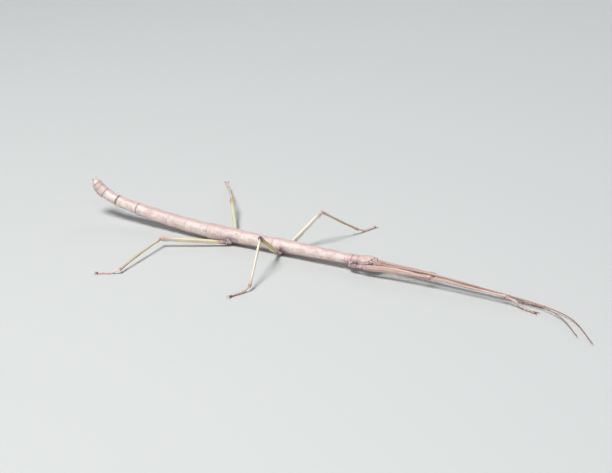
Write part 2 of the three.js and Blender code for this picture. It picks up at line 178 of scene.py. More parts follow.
def mirrored(turn, angle, width):
    """A bell round a piece, about an angle and about its mirror on the other side."""
    return bell(off_flanks(turn, angle), 0, width)


def waves(along, turn, length, seed):
    """Gentle unevenness between -1 and 1: three sines crossed at odd lengths."""
    a = 2 * np.pi * along / length + seed
    return (np.sin(a + np.cos(turn + seed)) + np.sin(1.7 * a + 2 * np.cos(turn) + 2.1 * seed)
            + np.sin(2.9 * a + 3 * np.sin(turn) + 0.7 * seed)) / 3


def keeled(turn, amount, keels=4, offset=45):
    """A cross-section with blunt keels: one plus the amount times the cosine of the turn."""
    return 1 + amount * np.cos(keels * (turn - np.radians(offset)))


def unit(vectors):
    return vectors / np.linalg.norm(vectors, axis=-1, keepdims=True)


def across(forward):
    """The side and top directions of a line that runs forward: side is level."""
    side = unit(np.cross(UP, forward))
    return side, np.cross(forward, side)


# ---- Measuring the frame ----

def corners(node):
    """The place of every triangle corner of a CAD node, one row each."""
    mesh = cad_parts[node].data
    places = np.empty(3 * len(mesh.vertices))
    mesh.vertices.foreach_get("co", places)
    index = np.empty(len(mesh.loops), int)
    mesh.loops.foreach_get("vertex_index", index)
    return places.reshape(-1, 3)[index]


def ends(node):
    """The middles of a turned solid's two ends, where the most triangles meet."""
    places, count = np.unique(np.round(corners(node), 7), axis=0, return_counts=True)
    return places[np.argsort(count)[-2:]]


def centre(node):
    return np.mean(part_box(node), axis=0)


def half_size(node):
    return np.ptp(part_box(node), axis=0) / 2


def grouped(along, *values):
    """Splits numbers into rings where they lie apart, and gives the mean distance along each
    ring and the lowest and highest of each value on it."""
    order = np.argsort(along)
    breaks = np.nonzero(np.diff(along[order]) > SAME_RING)[0] + 1
    places = np.array([part.mean() for part in np.split(along[order], breaks)])
    limits = [np.array([(part.min(), part.max()) for part in np.split(value[order], breaks)])
              for value in values]
    return places, limits


class Path:
    """A smooth line through places. Past its ends it goes on straight."""

    def __init__(self, places):
        self.places = np.asarray(places, float)
        steps = np.linalg.norm(np.diff(self.places, axis=0), axis=1) / MM
        self.knots = np.concatenate([[0], np.cumsum(steps)])
        self.length = self.knots[-1]

    def heading(self, along):
        nudge = 0.001
        inside = np.clip(along, nudge, self.length - nudge)
        before = spline(inside - nudge, self.knots, self.places)
        return unit(spline(inside + nudge, self.knots, self.places) - before)

    def at(self, along):
        inside = np.clip(along, 0, self.length)
        past = (along - inside)[..., None] * MM
        return spline(inside, self.knots, self.places) + past * self.heading(along)

    def placed(self, along, side, top):
        """Points at distances along, this far to the line's side and above it."""
        beside, above = across(self.heading(along))
        return self.at(along)[:, None] + MM * (side[..., None] * beside[:, None]
                                               + top[..., None] * above[:, None])

    def measured(self, points):
        """How far along, to the side of and above the line each point lies."""
        along = np.arange(-2, self.length + 2, 0.1)
        gaps = ((points[:, None] - self.at(along)[None]) ** 2).sum(-1)
        along = along[gaps.argmin(1)]
        offset = (points - self.at(along)) / MM
        forward = self.heading(along)
        beside, above = across(forward)
        return (along + (offset * forward).sum(-1), (offset * beside).sum(-1),
                (offset * above).sum(-1))


class Limb:
    """A turned solid, measured: where it starts, its own directions, and the middle and half
    size of each of its rings. Its girth follows the kept rings. A level one runs flat."""

    def __init__(self, node, near, kept=slice(1, -1), level=False):
        self.start, self.end = sorted(ends(node), key=lambda end: np.linalg.norm(end - near))
        forward = self.end - self.start
        if level:
            forward[2] = 0
        self.forward = unit(forward)
        self.side, self.top = across(self.forward)
        self.length = forward @ self.forward / MM
        axes = np.stack([self.forward, self.side, self.top], 1)
        self.rings, (side, top) = grouped(*((corners(node) - self.start) @ axes / MM).T)
        self.middles = np.stack([side.mean(1), top.mean(1)], 1)
        self.halves = np.stack([np.ptp(side, axis=1), np.ptp(top, axis=1)], 1) / 2
        self.halves /= np.cos(np.pi / LEG_FACETS)
        self.kept = kept

    def half(self, along):
        return spline(along, self.rings[self.kept], self.halves[self.kept])

    def moved(self, place, along, side=0.0, top=0.0):
        """A place moved along the limb, to its side and up its top."""
        return place + MM * (along * self.forward + side * self.side + top * self.top)

    def placed(self, along, side, top):
        """Points at distances along, this far to the side of and above the limb's middle."""
        middle = spline(along, self.rings, self.middles)
        return self.moved(self.start, along[:, None, None], (side + middle[:, :1])[..., None],
                          (top + middle[:, 1:])[..., None])


# ---- Making skins ----

def turns(columns):
    """Even angles once round a piece, from its side over its top."""
    return np.linspace(0, 2 * np.pi, columns, endpoint=False)


def closed(rings, **marks):
    """A closed skin over a stack of rings: quads between neighbouring rings, and a fan of
    triangles from the first and the last ring to their middles, all facing outwards."""
    rows, columns = rings.shape[:2]
    count = rows * columns
    points = np.vstack([rings.reshape(-1, 3), rings[0].mean(0), rings[-1].mean(0)])
    here = np.arange(columns)
    beside = np.roll(here, -1)
    row = columns * np.arange(rows - 1)[:, None]
    quads = np.stack([row + here, row + beside, row + columns + beside, row + columns + here], -1)
    quads = quads.reshape(-1, 4)
    last = count - columns
    caps = np.vstack([np.stack([beside, here, np.full(columns, count)], -1),
                      np.stack([last + here, last + beside, np.full(columns, count + 1)], -1)])
    halves = np.vstack([quads[:, :3], quads[:, [0, 2, 3]], caps])
    a, b, c = points[halves].transpose(1, 0, 2)
    if (np.cross(a, b) * c).sum() < 0:
        quads, caps = quads[:, ::-1], caps[:, ::-1]
    painted = {}
    for key, value in marks.items():
        value = np.broadcast_to(value, (rows, columns) + np.shape(value)[2:])
        flat = value.reshape((count,) + value.shape[2:])
        painted[key] = np.concatenate([flat, [value[0].mean(0)], [value[-1].mean(0)]])
    return points, quads, caps, painted


def wrapped(line, along, side, top, **marks):
    """A closed skin round a path or a limb, above the floor, marked with where its points
    would lie if it were straight: millimetres along, to the side and up."""
    rings = line.placed(along, side, top)
    rings[..., 2] = np.maximum(rings[..., 2], 0)
    straight = np.stack([np.broadcast_to(along[:, None], side.shape), side, top], -1)
    return closed(rings, straight=straight, **marks)


def shown(name, skins, finish, nodes):
    """Joins closed skins into one piece of the insect, which stands for these CAD nodes."""
    shift = np.cumsum([0] + [len(points) for points, *_ in skins[:-1]])
    faces = []
    for start, (_, quads, caps, _) in zip(shift, skins):
        faces += (quads + start).tolist() + (caps + start).tolist()
    mesh = bpy.data.meshes.new(name)
    mesh.from_pydata(np.vstack([points for points, *_ in skins]), [], faces)
    mesh.polygons.foreach_set("use_smooth", np.ones(len(faces), bool))
    for key in skins[0][3]:
        values = np.concatenate([marks[key] for *_, marks in skins])
        vector = values.ndim > 1
        layer = mesh.attributes.new(key, "FLOAT_VECTOR" if vector else "FLOAT", "POINT")
        layer.data.foreach_set("vector" if vector else "value", values.ravel())
    mesh.materials.append(finish)
    piece = bpy.data.objects.new(name, mesh)
    bpy.context.scene.collection.objects.link(piece)
    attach(piece, "root")
    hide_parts(*nodes)


def domed(along, start, end, length):
    """One along a piece, falling to nothing at both ends as the edge of a circle does."""
    near = np.clip((along - start) / length, 0, 1)
    far = np.clip((end - along) / length, 0, 1)
    return np.sqrt(1 - (1 - near) ** 2) * np.sqrt(1 - (1 - far) ** 2)


def spaced(start, end, step):
    """Even distances from start to end, closer at both ends where a skin is domed."""
    fewest, crowding = 8, 0.35
    t = np.linspace(0, 1, max(fewest, int(round((end - start) / step))))
    return start + (end - start) * (t - np.sin(2 * np.pi * t) / (2 * np.pi) * crowding)


def finger(places, radii, columns=12, rows=14, flat=1.0):
    """A small tapering tube along a path, its radius smooth between the given ones and its
    ends domed. Flat is its height over its width."""
    path = Path(places)
    along = spaced(0, path.length, path.length / rows)
    radius = spline(along, np.linspace(0, path.length, len(radii)), radii)
    radius = radius * domed(along, 0, path.length, 1.2 * max(radii))
    turn = turns(columns)
    return wrapped(path, along, radius[:, None] * np.cos(turn),
                   flat * radius[:, None] * np.sin(turn),
                   share=(along / path.length)[:, None], dark=0.0)


# ---- Shader groups ----

def new_node(tree, kind, inputs=None, **settings):
    """Adds a shader node. An input is a number, a colour or another node's output."""
    node = tree.nodes.new(kind)
    for key, value in settings.items():
        setattr(node, key, value)
    for key, value in (inputs or {}).items():
        if isinstance(value, bpy.types.NodeSocket):
            tree.links.new(value, node.inputs[key])
        else:
            node.inputs[key].default_value = value
    return node


def maths(tree, operation, *values):
    return new_node(tree, "ShaderNodeMath", dict(enumerate(values)), operation=operation).outputs[0]


def eased(tree, value, low, high, start=0.0, end=1.0):
    """A value that runs smoothly from start to end as another goes from low to high."""
    return new_node(tree, "ShaderNodeMapRange", {
        "Value": value, "From Min": low, "From Max": high, "To Min": start, "To Max": end},
        interpolation_type="SMOOTHSTEP").outputs[0]


def squeezed(tree, place, along, around):
    """The place on a straightened piece, squeezed along and around it."""
    scale = new_node(tree, "ShaderNodeCombineXYZ", {"X": along, "Y": around, "Z": around})
    return new_node(tree, "ShaderNodeVectorMath", {0: place, 1: scale.outputs[0]},
                    operation="MULTIPLY").outputs[0]


def new_group(name, numbers, output, kind="NodeSocketFloat"):
    """A shader node group that is given a place in millimetres and named numbers. Returns its
    tree, what it is given, and its one output."""
    tree = bpy.data.node_groups.new(name, "ShaderNodeTree")
    tree.interface.new_socket("Place", in_out="INPUT", socket_type="NodeSocketVector")
    for socket, value in numbers.items():
        made = tree.interface.new_socket(socket, in_out="INPUT", socket_type="NodeSocketFloat")
        made.default_value = value
    tree.interface.new_socket(output, in_out="OUTPUT", socket_type=kind)
    given = tree.nodes.new("NodeGroupInput").outputs
    return tree, given, tree.nodes.new("NodeGroupOutput").inputs[output]


def make_lines_group():
    """Fine lines that run the length of a piece, as a mask."""
    tree, given, mask = new_group(
        "Lengthwise lines", {"Along": 0.15, "Around": 6.0, "Low": 0.45, "High": 0.7}, "Mask")
    place = squeezed(tree, given["Place"], given["Along"], given["Around"])
    noise = new_node(tree, "ShaderNodeTexNoise", {"Vector": place, "Scale": 1.0, "Detail": 3.0})
    tree.links.new(eased(tree, noise.outputs["Fac"], given["Low"], given["High"]), mask)
    return tree


def make_blotches_group():
    """Soft patches of a size in millimetres, as a mask."""
    tree, given, mask = new_group("Soft blotches", {"Size": 2.0, "Low": 0.4, "High": 0.65}, "Mask")
    noise = new_node(tree, "ShaderNodeTexNoise", {
        "Vector": given["Place"], "Scale": maths(tree, "DIVIDE", 1.0, given["Size"]),
        "Detail": 4.0, "Roughness": 0.6})
    tree.links.new(eased(tree, noise.outputs["Fac"], given["Low"], given["High"]), mask)
    return tree


def make_specks_group():
    """Small dark specks scattered over a piece, as a mask."""
    tree, given, mask = new_group("Dark specks", {"Per mm": 2.2, "Size": 0.2}, "Mask")
    cells = new_node(tree, "ShaderNodeTexVoronoi", {
        "Vector": given["Place"], "Scale": given["Per mm"]})
    patches = new_node(tree, "ShaderNodeTexNoise", {"Vector": given["Place"], "Scale": 0.5})
    reach = maths(tree, "MULTIPLY", given["Size"], patches.outputs["Fac"])
    tree.links.new(eased(tree, cells.outputs["Distance"], 0.0, reach, 1.0, 0.0), mask)
    return tree


def make_relief_group():
    """The fine relief of cuticle: lengthwise wrinkles and a grain, as a normal."""
    tree, given, normal = new_group(
        "Cuticle relief", {"Wrinkle": 0.5, "Grain": 0.5, "Height mm": 0.02}, "Normal",
        "NodeSocketVector")
    wrinkles = new_node(tree, "ShaderNodeTexNoise", {
        "Vector": squeezed(tree, given["Place"], 0.6, 7.0), "Scale": 1.0, "Detail": 4.0})
    grain = new_node(tree, "ShaderNodeTexVoronoi", {"Vector": given["Place"], "Scale": 9.0})
    long_part = maths(tree, "MULTIPLY", wrinkles.outputs["Fac"], given["Wrinkle"])
    both = maths(tree, "MULTIPLY_ADD", grain.outputs["Distance"], given["Grain"], long_part)
    bump = new_node(tree, "ShaderNodeBump", {
        "Height": both, "Distance": maths(tree, "MULTIPLY", given["Height mm"], MM)})
    tree.links.new(bump.outputs[0], normal)
    return tree


GROUPS = {
    "lines": make_lines_group(),
    "blotches": make_blotches_group(),
    "specks": make_specks_group(),
    "relief": make_relief_group(),
}


# ---- Finishes ----

class Finish:
    """A cuticle material being built: a colour that each effect adds to, and its relief. It
    starts as one colour, or as stops along the piece, each a share of its length and a colour."""

    def __init__(self, name, base, roughness, coat):
        self.material = bpy.data.materials.new(name)
        self.material.use_nodes = True
        self.tree = self.material.node_tree
        self.shader = self.tree.nodes["Principled BSDF"]
        self.roughness = roughness
        self.shader.inputs["Coat Weight"].default_value = coat
        self.shader.inputs["Coat Roughness"].default_value = 0.25
        self.place = self.mark("straight", "Vector")
        self.colour = self.ramp(base) if isinstance(base, list) else base

    def mark(self, name, output="Fac"):
        return new_node(self.tree, "ShaderNodeAttribute", attribute_name=name).outputs[output]

    def group(self, name, **inputs):
        named = {key.replace("_", " "): value for key, value in inputs.items()}
        return new_node(self.tree, "ShaderNodeGroup", {"Place": self.place, **named},
                        node_tree=GROUPS[name]).outputs[0]

    def broken(self, mask, **inputs):
        """A mask broken up into soft blotches."""
        return maths(self.tree, "MULTIPLY", mask, self.group("blotches", **inputs))

    def ramp(self, stops):
        node = new_node(self.tree, "ShaderNodeValToRGB", {"Fac": self.mark("share")})
        elements = node.color_ramp.elements
        while len(elements) < len(stops):
            elements.new(0.5)
        for element, (share, colour) in zip(elements, stops):
            element.position = share
            element.color = (*colour, 1)
        return node.outputs["Color"]

    def paint(self, mask, colour, amount=1.0):
        """Lays a colour over what is there, as strongly as the mask times the amount."""
        base = (*self.colour, 1) if isinstance(self.colour, tuple) else self.colour
        mix = new_node(self.tree, "ShaderNodeMix", {
            "Factor": maths(self.tree, "MULTIPLY", mask, amount), 6: base, 7: (*colour, 1)},
            data_type="RGBA")
        self.colour = mix.outputs[2]

    def done(self, wrinkle, grain, height):
        """The finished material, with wrinkles and a grain, and a gloss that is worn in places."""
        worn = self.group("blotches", Size=0.9, Low=0.3, High=0.7)
        rough = eased(self.tree, worn, 0.0, 1.0, self.roughness - 0.06, self.roughness + 0.12)
        normal = self.group("relief", Wrinkle=wrinkle, Grain=grain, Height_mm=height)
        for socket, value in (("Base Color", self.colour), ("Roughness", rough),
                              ("Normal", normal)):
            self.tree.links.new(value, self.shader.inputs[socket])
        return self.material


def trunk_finish():
    """Pale buff, pinker in patches, with painted shade in pink along the top edge and over the
    underside, a pinker first ring, fine lines along it, dark lines in the joints, a brown line along
    each flank of the thorax and purple at the coxae."""
    skin = Finish("Trunk cuticle", PALE, roughness=0.44, coat=0.12)
    skin.paint(skin.group("blotches", Size=5.0, Low=0.42, High=0.62), PINK, 0.3)
    skin.paint(skin.group("lines", Along=0.5, Around=1.1, Low=0.46, High=0.62), PINK, 0.4)
    # Painted shade: pink along the top edge and over the underside, and a pinker first ring.
    skin.paint(skin.mark("blush"), PINK, 0.75)
    skin.paint(skin.group("lines", Along=0.2, Around=9.0, Low=0.52, High=0.7), TAN, 0.45)
    skin.paint(skin.group("blotches", Size=0.9, Low=0.56, High=0.7), TAN, 0.35)
    skin.paint(skin.group("specks", Per_mm=1.6, Size=0.2), PLUM, 0.5)
    skin.paint(skin.mark("flank"), RUST, 0.7)
    skin.paint(skin.mark("plum"), (0.40, 0.27, 0.29), 0.7)
    skin.paint(skin.broken(skin.mark("plum"), Size=0.8, Low=0.35, High=0.6), PLUM)
    skin.paint(skin.mark("dark"), UMBER, 0.9)
    return skin.done(0.7, 0.3, 0.035)


def head_finish():
    """Buff like the trunk, pinker above, with painted shade in purple below, coarse pale and brown
    lines and dark bands behind the eyes."""
    skin = Finish("Head cuticle", (0.72, 0.59, 0.57), roughness=0.44, coat=0.12)
    skin.paint(skin.group("blotches", Size=1.3, Low=0.42, High=0.62), PINK, 0.6)
    skin.paint(skin.mark("blush"), PINK, 0.6)
    skin.paint(skin.group("lines", Along=0.3, Around=2.0, Low=0.5, High=0.58), TAN, 0.4)
    skin.paint(skin.group("lines", Along=0.4, Around=1.5, Low=0.54, High=0.62), PALE, 0.6)
    skin.paint(skin.group("specks", Per_mm=2.6, Size=0.3), TAN, 0.5)
    # Painted shade: purple over the underside of the head's front half.
    skin.paint(skin.mark("plum"), PLUM, 0.6)
    skin.paint(skin.mark("dark"), (0.12, 0.07, 0.07))
    return skin.done(0.5, 0.35, 0.025)


def leg_finish(name, stops, lines=0.3, specks=0.0, roughness=0.38, mottled=0.0):
    """Colours that change along the piece, under fine lines and dark specks. A mottled piece
    carries purple and pale blotches over that share of its length."""
    skin = Finish(name, stops, roughness, coat=0.2)
    skin.paint(skin.group("lines", Along=0.06, Around=1.9, Low=0.5, High=0.57), TAN, lines)
    skin.paint(skin.group("lines", Along=0.08, Around=1.4, Low=0.54, High=0.6), PALE, lines)
    skin.paint(skin.group("lines", Along=0.2, Around=6.0, Low=0.46, High=0.66), TAN, 0.7 * lines)
    if mottled:
        near = eased(skin.tree, skin.mark("share"), 0.4 * mottled, mottled, 1.0, 0.0)
        skin.paint(skin.broken(near, Size=0.55, Low=0.4, High=0.62), PLUM, 0.8)
        skin.paint(skin.broken(near, Size=0.3, Low=0.45, High=0.65), PALE, 0.5)
    if specks:
        skin.paint(skin.group("specks", Per_mm=1.7, Size=0.3), UMBER, specks)
    # The dark mark holds joint lines and, on the thighs, painted shade along their undersides.
    skin.paint(skin.mark("dark"), UMBER, 0.75)
    return skin.done(0.6, 0.3, 0.02)


def coxa_finish():
    """Purple brown, mottled with pale buff and a deeper purple."""
    skin = Finish("Coxa cuticle", (0.42, 0.28, 0.30), roughness=0.5, coat=0.05)
    skin.paint(skin.group("blotches", Size=0.6, Low=0.4, High=0.6), PALE, 0.75)
    skin.paint(skin.group("blotches", Size=0.8, Low=0.46, High=0.6), PLUM, 0.9)
    skin.paint(skin.mark("dark"), UMBER, 0.7)
    return skin.done(0.4, 0.6, 0.03)


def eye_finish():
    """Glossy pale brown with slanting dark bands, and a fine grain of facets."""
    skin = Finish("Compound eye", (0.56, 0.45, 0.40), roughness=0.32, coat=0.35)
    skin.paint(skin.group("blotches", Size=0.25, Low=0.45, High=0.6), TAN, 0.5)
    skin.paint(skin.mark("dark"), (0.10, 0.05, 0.045), 0.9)
    return skin.done(0.0, 0.5, 0.008)


def claw_finish():
    """Glossy red brown horn that darkens to the tips."""
    horn = (0.3, 0.1, 0.06)
    skin = Finish("Claw horn", [(0, horn), (0.6, horn), (1, UMBER)], roughness=0.25, coat=0.5)
    return skin.done(0.3, 0.2, 0.01)


# ---- Trunk ----

def trunk_line():
    """The line through the middles of the joints, from the neck to the tail's end."""
    pairs = [sorted(ends(name), key=lambda end: -end[0]) for name in RINGS]
    places = [(before[1] + after[0]) / 2 for before, after in zip(pairs, pairs[1:])]
    return Path([pairs[0][0], *places, pairs[-1][1]])


TRUNK = trunk_line()
NECK = TRUNK.places[0]
JOINT_PLACES = dict(zip(RINGS, TRUNK.knots))
THORAX_END = JOINT_PLACES["median_segment"]


def trunk_girth():
    """Distances along the trunk, and there its half width, its height and its depth, from
    the rings of corners between the turned-in edges of each solid."""
    rows = []
    for name in RINGS:
        along, side, top = TRUNK.measured(corners(name))
        places, (sides, tops) = grouped(along, side, top)
        rows.append(np.stack([places, sides[:, 1], tops[:, 1], -tops[:, 0]], 1)[1:-1])
    rows = np.vstack(rows)
    return rows[:, 0], rows[:, 1:] / np.cos(np.pi / TRUNK_FACETS)


GIRTH_AT, GIRTH = trunk_girth()

# How far along the trunk each pair of coxae is.
COXA_PLACES = [TRUNK.measured(centre(f"left_{kind}_coxa")[None])[0][0] for kind in KINDS]


def trunk_relief(s, turn):
    """How far the skin stands out from a plain oval: the joints' grooves and lips, a keel and
    a line along the back, a fold along each flank, the edges of the belly plates, a groove
    across the first ring, a hump at each coxa and small dents."""
    out = 0.012 * waves(s, turn, 6.1, 0.4) + 0.006 * waves(s, turn, 1.9, 2.2)
    for name, (cut, lip, *_) in JOINTS.items():
        past = s - JOINT_PLACES[name]
        out = out + ridges(past, (-cut, 0.05, 0.13), (-0.3 * cut, 0.5, 0.4), (lip, -0.22, 0.2))
    thorax = 1 - rise(s, THORAX_END - 2, THORAX_END + 1)
    out = out + (0.015 + 0.035 * thorax) * facing(turn, BACK, 5)
    flank = off_flanks(turn, FLANK_FOLD)
    upper_left = apart(turn, BELLY) <= -90
    out = out + 0.06 * bell(flank, 0, 7) - 0.045 * bell(flank, 16, 6) * ~upper_left
    out = out - 0.035 * bell(np.abs(apart(turn, BELLY)), BELLY_PLATE, 4)
    out = out - 0.12 * bell(s, PRONOTUM_FOLD, 0.22) * rise(np.sin(turn), -0.4, 0)
    out = out + 0.03 * bell(s, 0.35, 0.2) - 0.05 * facing(turn, BACK, 4) * bell(s, 1.8, 1.2)
    humps = sum(bell(s, place, 1.5) for place in COXA_PLACES)
    return out + 0.16 * humps * mirrored(turn, COXA_HUMP, 26)


def breathing_holes(s, turn):
    """A pair of holes on the front part of each ring, as a mask."""
    starts = np.array([JOINT_PLACES[name] for name in RINGS[1:-1]])
    places = starts[:-1] + 0.22 * np.diff(starts)
    return mirrored(turn, SPIRACLE_LINE, 4) * sum(bell(s, place, 0.13) for place in places)


def make_trunk():
    """One skin from the neck to the tail's end. A point lies at (half width + relief) cos turn
    to the side and (height or depth + relief) sin turn above the trunk's line. Its rings are
    even, with more at each joint and at both ends."""
    end = TRUNK.length + 0.35
    joints = np.array(list(JOINT_PLACES.values()))
    along = np.sort(np.concatenate([
        np.arange(0.12, end, STEP["trunk"]),
        (joints[1:, None] + [-0.2, -0.08, 0.0, 0.08, 0.2]).ravel(),
        [-0.25, -0.15, -0.05, 0.03], end - np.array([0.02, 0.06])]))
    s, t = along[:, None], turns(ROUND["trunk"])[None, :]
    wide, tall, deep = spline(along, GIRTH_AT, GIRTH).T[:, :, None]
    above = np.sin(t)
    holes = breathing_holes(s, t)
    out = trunk_relief(s, t) - 0.05 * holes
    ending = domed(along, -0.3, end + 0.01, 0.55)[:, None]
    side = (wide + out) * np.cos(t) * ending
    top = (np.where(above > 0, tall, deep) + out) * above * ending
    lines = sum(dark * bell(s, JOINT_PLACES[name] + 0.03, wide_line)
                for name, (*_, dark, wide_line) in JOINTS.items())
    lines = lines * (0.35 + 0.65 * rise(above, -0.9, 0.1))
    lines = lines + 0.6 * bell(s, PRONOTUM_FOLD, 0.17) * rise(above, -0.4, 0)
    thorax = 1 - rise(s, THORAX_END - 3, THORAX_END)
    coxae = sum(bell(s, place - 0.8, 2.0) for place in COXA_PLACES)
    # Painted shade: pink along the very top and over the whole underside; the first ring is also
    # pinker all round.
    blush = 0.8 * rise(above, 0.82, 1.0) + rise(-above, 0.1, 0.6)
    collar = 1 - rise(s, JOINT_PLACES["mesothorax"] - 1, JOINT_PLACES["mesothorax"])
    skin = wrapped(TRUNK, along, side, top,
                   dark=np.clip(lines + 0.8 * holes, 0, 1),
                   flank=mirrored(t, FLANK_LINE, 4) * thorax * rise(s, 3, 7),
                   plum=np.clip(1.4 * coxae * mirrored(t, COXA_PATCH, 36) - 0.1, 0, 1),
                   blush=blush + (0.7 - 0.3 * blush) * collar)
    shown("trunk_skin", [skin], trunk_finish(), RINGS)


# ---- Tail ----

def make_operculum():
    """The boat-shaped plate under the tail: an oval whose width and depth follow the solid's,
    with a sharp keel below and a fold along each rim."""
    along, side, top = TRUNK.measured(corners("operculum"))
    start, end = along.min() - 0.25, along.max()
    at = spaced(start, end, STEP["operculum"])
    t = ((at - start) / (end - start))[:, None]
    turn = turns(ROUND["operculum"])
    boat = np.sqrt(np.clip(1 - ((2 * t - 0.85) / 1.15) ** 2, 0, 1))
    boat = boat * domed(at, start, end, 0.2)[:, None]
    bins = np.linspace(along.min(), along.max(), 8)
    bottom = spline(at, bins, [top[np.abs(along - place) < 0.5].min() for place in bins])
    thick = 0.62 * boat
    keel = 1 + 0.12 * facing(turn, BELLY, 12)
    width = side.max() / 0.98 * (1 - 0.25 * t ** 2)
    rim = 0.04 * mirrored(turn, -20, 10) * np.sign(np.cos(turn))
    # The whole plate gets the trunk's pink painted shade of the underside.
    skin = wrapped(TRUNK, at, boat * (width * np.cos(turn) + rim),
                   bottom[:, None] + thick + thick * np.sin(turn) * keel,
                   dark=0.35 * facing(turn, BELLY, 8), flank=0.0, plum=0.0, blush=0.6)
    shown("operculum_plate", [skin], bpy.data.materials["Trunk cuticle"], ["operculum"])


def make_cerci():
    """Two short tapering prongs that curve towards each other."""
    finish = leg_finish("Cercus cuticle", [(0, PALE), (0.7, BLUSH), (1, PINK)])
    for side in SIDES:
        node = f"cercus_{side}"
        places = corners(node)
        tip = places[places[:, 2].argmax()]
        root = centre("abdomen_10") + [0, 0.35 * (tip[1] - NECK[1]), 0.2 * MM]
        middle = (root + tip) / 2 + [-0.12 * MM, 0.12 * (tip[1] - root[1]), 0]
        skin = finger([root, middle, tip], [0.5, 0.38, 0.29, 0.2, 0.1], 20, 30)
        shown(f"{node}_skin", [skin], finish, [node])


# ---- Legs ----

def femur_of(leg):
    return Limb(f"{leg}_femur", centre(f"{leg}_coxa"))


def foot_of(leg, **how):
    return Limb(f"{leg}_tarsus", centre(f"{leg}_tibia"), level=True, **how)


def limb_skin(limb, along, turn, scale, out, dark):
    """A closed skin round a limb: (half size times scale + out) at each turn."""
    half = limb.half(along)
    return wrapped(limb, along, (half[:, :1] * scale + out) * np.cos(turn),
                   (half[:, 1:] * scale + out) * np.sin(turn),
                   dark=dark, share=(along / limb.length)[:, None])


def make_coxa(leg, finish):
    """A stout cone from inside the trunk to the hip, with a raised rim round the thigh's root
    and a groove behind it: its radius is the solid's, times a curve along it and three faint
    ribs round it."""
    node = f"{leg}_coxa"
    femur = femur_of(leg)
    hip = femur.moved(femur.start, -0.3)
    inner = centre(node) + (centre(node) - hip) * 0.9
    inner[1] = (inner[1] + NECK[1]) / 2
    away = unit(hip - inner)
    path = Path([inner, (inner + hip) / 2, hip + 0.12 * MM * away])
    offset = corners(node) - hip
    reach = np.linalg.norm(offset - (offset @ away)[:, None] * away, axis=1) / MM
    radius = 0.96 * np.sort(reach)[-len(reach) // 20]
    along = spaced(0, path.length, path.length / 40)
    t = along / path.length
    turn = turns(ROUND["coxa"])
    shape = spline(t, [0, 0.4, 0.6, 0.84, 0.93, 1], [0.9, 1.12, 1.04, 0.74, 0.78, 0.56])
    shape = radius * shape * domed(along, 0, path.length, 0.12)
    grow = shape[:, None] * keeled(turn, 0.02, 3, BACK)
    grow = grow + 0.02 * waves(along[:, None], turn, 1.2, 1.3)
    skin = wrapped(path, along, grow * np.cos(turn), grow * np.sin(turn),
                   dark=0.5 * bell(t, 0.88, 0.04)[:, None])
    shown(f"{node}_skin", [skin], finish, [node])


def make_femur(leg, finish):
    """A thigh with four blunt keels, a trochanter parted from it by a groove and a knee with
    two side lobes. Fore thighs have a thin edge, and the other thighs a small spine under
    their end."""
    side, kind = leg.split("_")
    node = f"{leg}_femur"
    limb = femur_of(leg)
    start, end = -0.45, limb.length + 0.02
    along = spaced(start, end, STEP["femur"])
    a, turn = along[:, None], turns(ROUND["femur"])[None, :]
    knee = end - a
    under = facing(turn, BELLY, 26)
    shaft = between(a, 1.6, 3, end - 2.2, end - 1.2)
    scale = 1 + shaft * (keeled(turn, 0.07) - 1)
    out = ridges(a, TROCHANTER_GROOVE, TROCHANTER_RIM) + ridges(knee, KNEE_RIM)
    out = out - 0.24 * under * (1 - rise(knee, 0.35, 1.0))
    out = out + facing(turn, BACK, 14) * ridges(knee, KNEE_DENT) + 0.008 * waves(a, turn, 3.1, 0.9)
    dark = ridges(a, TROCHANTER_LINE) + ridges(knee, KNEE_LINE)
    # Painted shade: the thigh's underside is darkened, except near the knee.
    dark = dark + 0.4 * under * (1 - rise(knee, 0.3, 0.8))
    if kind == "fore":
        edge = UPPER_EDGE[side] * facing(turn, BACK, 24) + LOWER_EDGE * facing(turn, BELLY, 24)
        out = out + edge * between(a, 1.5, 4, end - 7, end - 2)
        out = out + facing(turn, BACK, 45) * ridges(a, UPPER_SWELL[side])
    ending = domed(along, start, end, 0.42)[:, None]
    skins = [limb_skin(limb, along, turn, scale * ending, out * ending, dark)]
    if kind != "fore":
        at = limb.length - 2.1
        below = limb.moved(limb.start, at, 0, -0.8 * limb.half(np.array([at]))[0, 1])
        tip = limb.moved(below, 0.32, 0, -0.45)
        skins.append(finger([below, limb.moved((below + tip) / 2, 0.03), tip],
                            [0.2, 0.12, 0.03], 10, 10))
    shown(f"{node}_skin", skins, finish, [node])


def make_tibia(leg, finish):
    """A thin shin with four keels. Its root bends into the knee, and its end widens to a
    notched cup with two small spurs beneath."""
    node = f"{leg}_tibia"
    limb = Limb(node, femur_of(leg).end)
    start, end = -0.95, limb.length + 0.12
    along = spaced(start, end, STEP["tibia"])
    a, turn = along[:, None], turns(ROUND["tibia"])[None, :]
    ankle = end - a
    shaft = between(a, 0.3, 1.5, end - 1.2, end - 0.5)
    scale = (1 + shaft * (keeled(turn, 0.08) - 1)) * (0.84 + 0.16 * rise(a, -0.7, 0.1))
    out = ridges(a, SHIN_SWELL, SHIN_NECK) + ridges(ankle, ANKLE_RIM)
    out = out + 0.006 * waves(a, turn, 2.7, 3.1)
    ending = domed(along, start, end, 0.25)[:, None]
    skins = [limb_skin(limb, along, turn, scale * ending, out * ending,
                       ridges(a, SHIN_LINE) + ridges(ankle, ANKLE_LINE))]
    for sign in (-1, 1):
        below = limb.moved(limb.start, limb.length - 0.35, 0.16 * sign, -0.22)
        tip = limb.moved(below, 0.3, 0, -0.16)
        tip[2] = max(tip[2], 0.03 * MM)
        skins.append(finger([below, (below + tip) / 2, tip], [0.09, 0.07, 0.02], 8, 8))
    shown(f"{node}_skin", skins, finish, [node])


